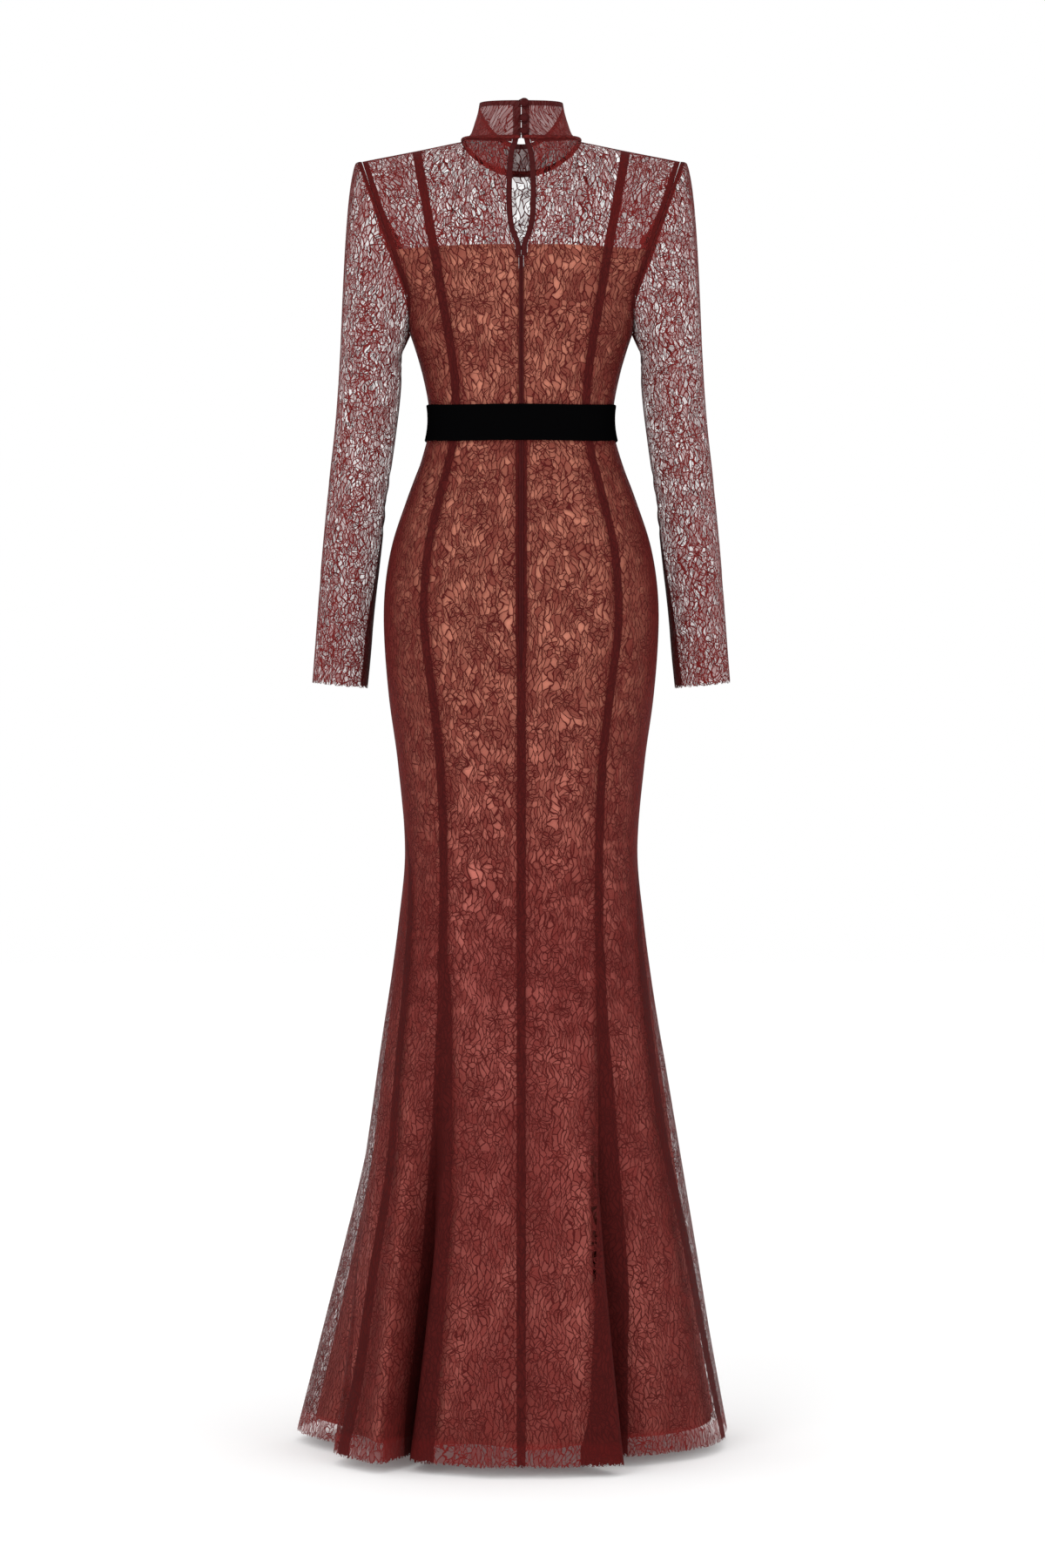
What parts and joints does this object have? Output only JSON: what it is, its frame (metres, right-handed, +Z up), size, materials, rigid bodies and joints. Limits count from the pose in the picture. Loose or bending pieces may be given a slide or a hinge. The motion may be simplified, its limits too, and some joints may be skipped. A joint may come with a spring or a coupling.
{
  "type": "mermaid gown",
  "caption": "Floor-length mermaid gown in corded lace over a nude strapless lining, with stand collar, keyhole back, long sleeves and velvet belt.",
  "frame": {"origin": "between the shoulders at the height of the side of the neck, where the wearer's shoulders and neck hold the gown", "axes": "+Z up along the gown, -Y towards the wearer's front, +X towards the wearer's left"},
  "size_m": [0.511, 0.46, 1.5724],
  "materials": {
    "corded_lace": "matte corded lace on tulle",
    "nude_lining": "smooth stretch lining",
    "black_velvet": "velvet pile",
    "oxblood_satin": "satin"
  },
  "bodies": {
    "root": {"centre_back_left": "corded_lace", "centre_back_right": "corded_lace", "side_back_left": "corded_lace", "side_back_right": "corded_lace", "side_front_left": "corded_lace", "side_front_right": "corded_lace", "centre_front": "corded_lace", "collar": "corded_lace", "sleeve_left": "corded_lace", "sleeve_right": "corded_lace", "lining_back_left": "nude_lining", "lining_back_right": "nude_lining", "lining_front": "nude_lining", "button_1": "oxblood_satin", "button_2": "oxblood_satin", "button_3": "oxblood_satin", "keyhole_binding_left": "oxblood_satin", "keyhole_binding_right": "oxblood_satin", "back_zip": "oxblood_satin", "belt": "black_velvet"}
  },
  "joints": []
}
